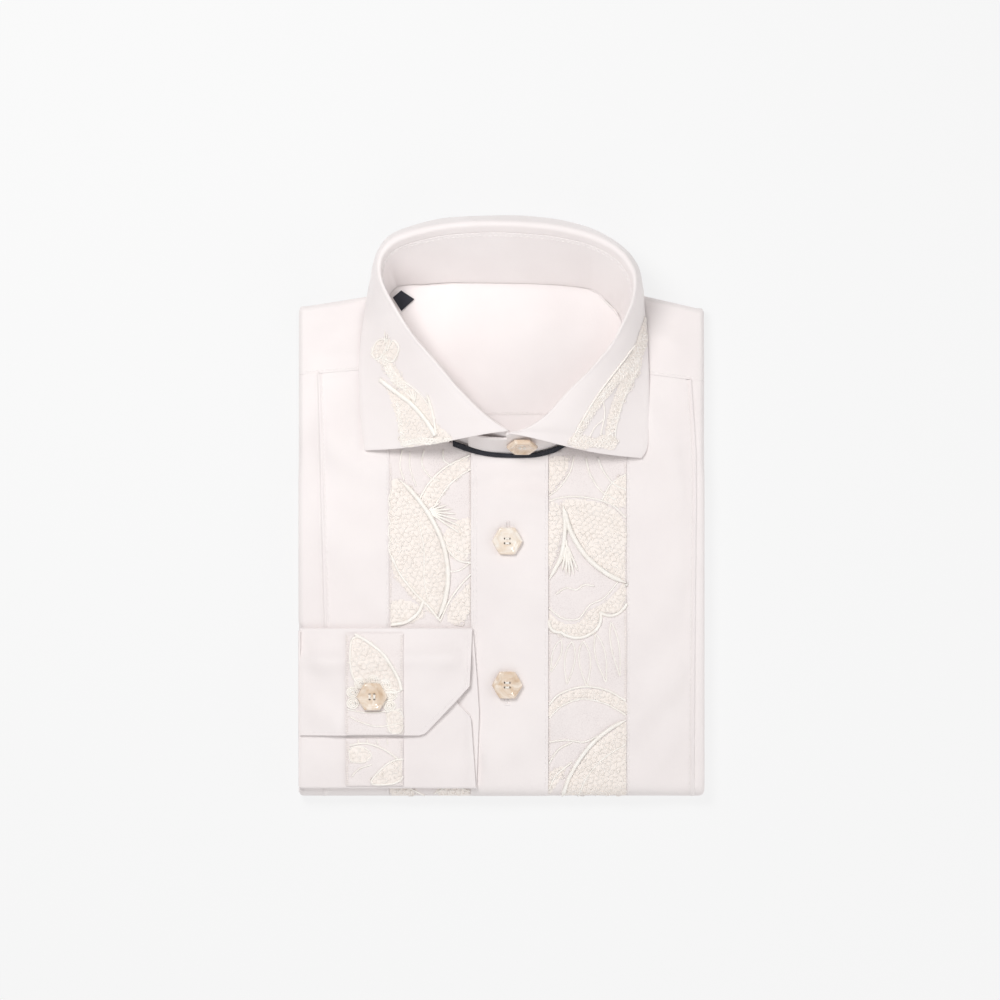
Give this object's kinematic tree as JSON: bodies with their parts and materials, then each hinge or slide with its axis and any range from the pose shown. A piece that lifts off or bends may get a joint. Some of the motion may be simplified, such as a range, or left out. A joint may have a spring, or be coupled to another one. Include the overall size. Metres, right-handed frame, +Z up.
{
  "type": "folded embroidered dress shirt",
  "caption": "Long-sleeved button shirt with lace front strips and a spread collar, folded flat for a shelf.",
  "frame": {"origin": "centre of the folded shirt's footprint, on the surface it lies on", "axes": "+X to the wearer's left side of the front as the viewer sees it on the right, +Y from the folded hem to the collar, +Z up from the surface"},
  "size_m": [0.226, 0.3237, 0.0449],
  "materials": {
    "white_cotton": "matte",
    "cream_lace": "matte",
    "black_tape": "matte",
    "pearl_button": "gloss"
  },
  "bodies": {
    "root": {"front_left": "white_cotton", "front_right": "white_cotton", "lace_left": "cream_lace", "lace_right": "cream_lace", "placket": "white_cotton", "yoke": "white_cotton", "yoke_inside": "white_cotton", "back_upper": "white_cotton", "back_lower": "white_cotton", "folded_layers": "white_cotton", "collar_stand": "white_cotton", "collar_leaf": "white_cotton", "collar_lace_left": "cream_lace", "collar_lace_right": "cream_lace", "neck_tape": "black_tape", "size_tab": "black_tape", "cuff": "white_cotton", "cuff_lace_over": "cream_lace", "cuff_lace_under": "cream_lace", "sleeve": "white_cotton", "button_upper": "pearl_button", "button_lower": "pearl_button", "button_cuff": "pearl_button", "button_collar": "pearl_button"}
  },
  "joints": []
}
